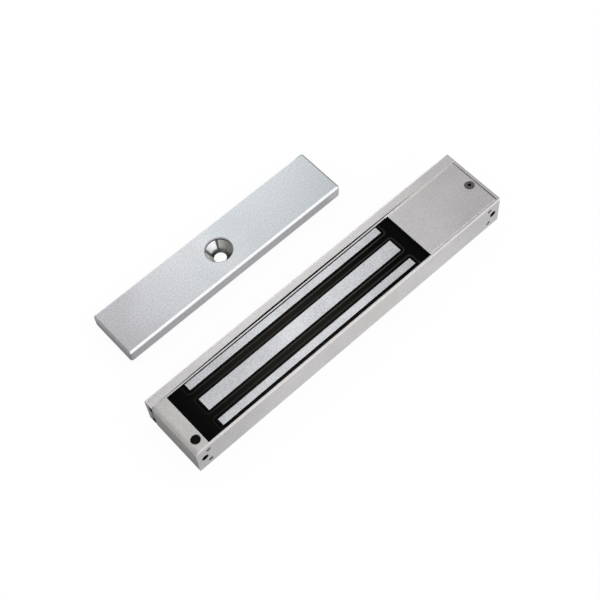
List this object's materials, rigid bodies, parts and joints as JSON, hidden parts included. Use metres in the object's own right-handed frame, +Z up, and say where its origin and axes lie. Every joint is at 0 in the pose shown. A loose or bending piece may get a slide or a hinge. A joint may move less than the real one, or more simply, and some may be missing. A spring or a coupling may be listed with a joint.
{
  "type": "magnetic door lock",
  "caption": "Surface-mounted electromagnetic door lock: aluminium channel case, potted steel E core, wiring cover and mounting plate, with a loose countersunk armature plate beside it.",
  "frame": {"origin": "on the surface that the set lies on, under the middle of its bounding box, between the lock and the armature plate", "axes": "+X along the lock towards its wiring cover, +Y from the lock towards the armature plate, +Z up, out of the pole faces"},
  "size_m": [0.25, 0.12, 0.025],
  "materials": {
    "anodised_aluminium": "satin, bead blasted and clear anodised",
    "cast_aluminium": "fine blasted casting",
    "plated_steel": "ground and nickel plated",
    "zinc_steel": "ground and zinc plated",
    "dark_steel": "oiled dark screw steel",
    "black_epoxy": "poured, satin gloss",
    "black_rubber": "moulded matte",
    "black_nylon": "moulded",
    "copper_winding": "enamelled copper wire",
    "board_laminate": "green solder mask",
    "brass": "turned",
    "green_plastic": "moulded",
    "blue_coating": "dipped epoxy",
    "red_sheath": "extruded",
    "black_sheath": "extruded"
  },
  "bodies": {
    "lock_body": {"case_channel": "anodised_aluminium", "end_block_left": "cast_aluminium", "end_block_right": "cast_aluminium", "end_pin_near_left_low": "plated_steel", "end_pin_near_left_high": "plated_steel", "end_pin_near_right_low": "plated_steel", "end_pin_near_right_high": "plated_steel", "end_pin_far_left_low": "plated_steel", "end_pin_far_left_high": "plated_steel", "end_pin_far_right_low": "plated_steel", "end_pin_far_right_high": "plated_steel", "core_stack": "plated_steel", "core_rivet_1": "plated_steel", "core_rivet_2": "plated_steel", "core_rivet_3": "plated_steel", "coil_former": "black_nylon", "coil_winding": "copper_winding", "potting": "black_epoxy", "potting_dam": "black_nylon", "control_board": "board_laminate", "board_standoff_1": "brass", "board_standoff_2": "brass", "board_screw_1": "plated_steel", "board_screw_2": "plated_steel", "terminal_block": "green_plastic", "pin_header": "brass", "varistor": "blue_coating", "lead_wire_1": "red_sheath", "lead_wire_2": "black_sheath", "cable_grommet": "black_rubber"},
    "armature": {"armature_plate": "zinc_steel"},
    "cover": {"terminal_cover": "anodised_aluminium"},
    "cover_screw": {"cover_screw": "dark_steel"},
    "mounting_plate": {"mounting_plate": "anodised_aluminium"},
    "bolt_left": {"mount_bolt_left": "dark_steel"},
    "bolt_right": {"mount_bolt_right": "dark_steel"},
    "plug": {"access_plug": "black_rubber"},
    "jumper_1": {"jumper_1": "black_nylon"},
    "jumper_2": {"jumper_2": "black_nylon"},
    "terminal_screw_1": {"terminal_screw_1": "plated_steel"},
    "terminal_screw_2": {"terminal_screw_2": "plated_steel"}
  },
  "joints": [
    {"name": "armature_swing", "type": "hinge", "parent": "lock_body", "child": "armature", "pos_m": [-0.0225, 0.00133, 0.0181], "axis": [1, 0, 0], "range_deg": [0, 180]},
    {"name": "cover_tilt", "type": "hinge", "parent": "lock_body", "child": "cover", "pos_m": [0.0651, -0.0391, 0.0247], "axis": [0, -1, 0], "range_deg": [0, 75]},
    {"name": "cover_screw_turn", "type": "hinge", "parent": "cover", "child": "cover_screw", "pos_m": [0.1184, -0.03965, 0.0246], "axis": [0, 0, 1], "continuous": true},
    {"name": "plate_release", "type": "slide", "parent": "lock_body", "child": "mounting_plate", "axis": [0, 1, 0], "range_m": [0, 0.03]},
    {"name": "bolt_left_turn", "type": "hinge", "parent": "lock_body", "child": "bolt_left", "pos_m": [-0.1195, -0.0584, 0.0122], "axis": [0, 1, 0], "continuous": true},
    {"name": "bolt_right_turn", "type": "hinge", "parent": "lock_body", "child": "bolt_right", "pos_m": [0.1195, -0.0584, 0.0122], "axis": [0, 1, 0], "continuous": true},
    {"name": "plug_pull", "type": "slide", "parent": "lock_body", "child": "plug", "axis": [0, 0, 1], "range_m": [0, 0.012]},
    {"name": "jumper_1_pull", "type": "slide", "parent": "lock_body", "child": "jumper_1", "axis": [0, 0, 1], "range_m": [0, 0.0055]},
    {"name": "jumper_2_pull", "type": "slide", "parent": "lock_body", "child": "jumper_2", "axis": [0, 0, 1], "range_m": [0, 0.0055]},
    {"name": "terminal_screw_1_turn", "type": "hinge", "parent": "lock_body", "child": "terminal_screw_1", "pos_m": [0.08246, -0.0343, 0.0127], "axis": [0, 0, 1], "continuous": true},
    {"name": "terminal_screw_2_turn", "type": "hinge", "parent": "lock_body", "child": "terminal_screw_2", "pos_m": [0.08754, -0.0343, 0.0127], "axis": [0, 0, 1], "continuous": true}
  ]
}
